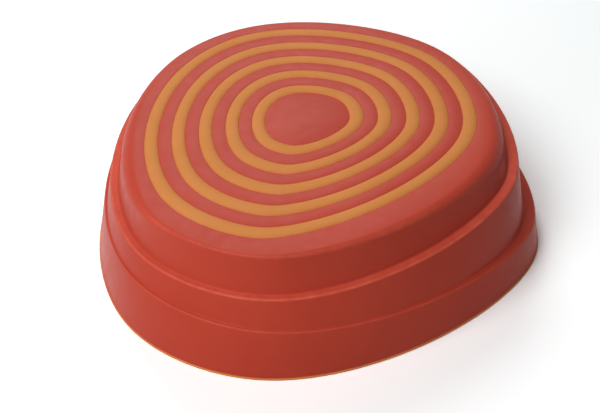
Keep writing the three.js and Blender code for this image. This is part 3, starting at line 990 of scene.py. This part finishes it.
# The floor is a plain pale sheet under the hill, and keeps its shadow.
# Further out it fades into the white room, for the camera and for mirrors.
floor_half_size = 4
floor_fade_start = 0.6
floor_fade_end = 1.2
floor_tone = (0.9, 0.9, 0.9, 1)
floor_seen_tone = (1.43, 1.47, 1.47, 1)


def seen_share(tree):
    """1 for rays from the camera, mirrors and clear things, 0 for the light that falls on the hill."""
    path = tree.nodes.new("ShaderNodeLightPath").outputs
    seen = sum_of(tree, "MAXIMUM", path["Is Camera Ray"], path["Is Glossy Ray"])
    return sum_of(tree, "MAXIMUM", seen, path["Is Transmission Ray"])


floor_mesh = bpy.data.meshes.new("floor")
floor_mesh.from_pydata([
    (-floor_half_size, -floor_half_size, 0),
    (floor_half_size, -floor_half_size, 0),
    (floor_half_size, floor_half_size, 0),
    (-floor_half_size, floor_half_size, 0),
], [], [(0, 1, 2, 3)])
floor = bpy.data.objects.new("floor", floor_mesh)
bpy.context.scene.collection.objects.link(floor)
floor_finish = bpy.data.materials.new("pale floor")
floor_finish.use_nodes = True
tree = floor_finish.node_tree
tree.nodes.clear()
seen = seen_share(tree)
tone = mixed_tone(tree, seen, floor_tone, floor_seen_tone)
sheet = add_node(tree, "ShaderNodeBsdfDiffuse", {"Color": tone})
where = tree.nodes.new("ShaderNodeTexCoord").outputs["Object"]
distance = add_node(tree, "ShaderNodeVectorMath", {0: where}, operation="LENGTH").outputs["Value"]
far = add_node(tree, "ShaderNodeMapRange", {
    "Value": distance, "From Min": floor_fade_start, "From Max": floor_fade_end,
}, interpolation_type="SMOOTHSTEP")
fade = sum_of(tree, "MULTIPLY", far.outputs[0], seen)
white = add_node(tree, "ShaderNodeEmission", {"Strength": 1.0})
mixed = add_node(tree, "ShaderNodeMixShader", {0: fade, 1: sheet.outputs[0], 2: white.outputs[0]})
add_node(tree, "ShaderNodeOutputMaterial", {"Surface": mixed.outputs[0]})
floor_mesh.materials.append(floor_finish)

# Weak light comes from all round. A large lamp stands high at the front left, a weaker one lower
# and nearer to the front, and a third behind the hill.
room_light_share = 0.05
world = bpy.data.worlds.new("studio")
bpy.context.scene.world = world
world.use_nodes = True
tree = world.node_tree
tree.nodes.clear()
soft = add_node(tree, "ShaderNodeBackground", {"Color": (1, 1, 1, 1), "Strength": room_light_share})
white = add_node(tree, "ShaderNodeBackground", {"Color": (1, 1, 1, 1), "Strength": 1.0})
mixed = add_node(tree, "ShaderNodeMixShader", {0: seen_share(tree), 1: soft.outputs[0], 2: white.outputs[0]})
add_node(tree, "ShaderNodeOutputWorld", {"Surface": mixed.outputs[0]})


def soft_lamp(name, place, aim, size, watts):
    """A square soft box that faces the point it is aimed at."""
    light = bpy.data.lights.new(name, "AREA")
    light.shape = "SQUARE"
    light.size = size
    light.energy = watts
    lamp = bpy.data.objects.new(name, light)
    bpy.context.scene.collection.objects.link(lamp)
    lamp.location = place
    lamp.rotation_euler = (Vector(aim) - Vector(place)).to_track_quat("-Z", "Y").to_euler()
    return lamp


def lamp_place(azimuth_degrees, elevation_degrees, distance):
    """A point at a distance from the frame's origin, turned from the right towards the back, and raised."""
    azimuth = math.radians(azimuth_degrees)
    elevation = math.radians(elevation_degrees)
    flat_distance = distance * math.cos(elevation)
    height = distance * math.sin(elevation)
    return (flat_distance * math.cos(azimuth), flat_distance * math.sin(azimuth), height)


hill_middle = (0, 0, 0.05)
soft_lamp("key lamp", lamp_place(222, 55, 1.8), hill_middle, size=1.1, watts=19)
soft_lamp("low lamp", lamp_place(240, 26, 1.8), hill_middle, size=0.9, watts=5)
soft_lamp("back lamp", lamp_place(97, 43, 2.2), hill_middle, size=1.0, watts=17.5)

# The camera stands in front of the hill and looks down on it, as in the photograph.
# Its place, tilt and lens come from the outlines of the rings, ledges and foot in the picture.
camera_tilt_degrees = 51.603
camera_data = bpy.data.cameras.new("camera")
camera_data.sensor_width = 36
camera_data.lens = 65.13
camera = bpy.data.objects.new("camera", camera_data)
bpy.context.scene.collection.objects.link(camera)
camera.location = (-0.01668, -0.78234, 0.62599)
camera.rotation_euler = (math.radians(camera_tilt_degrees), 0, 0)
bpy.context.scene.camera = camera
bpy.context.scene.view_settings.view_transform = "Standard"
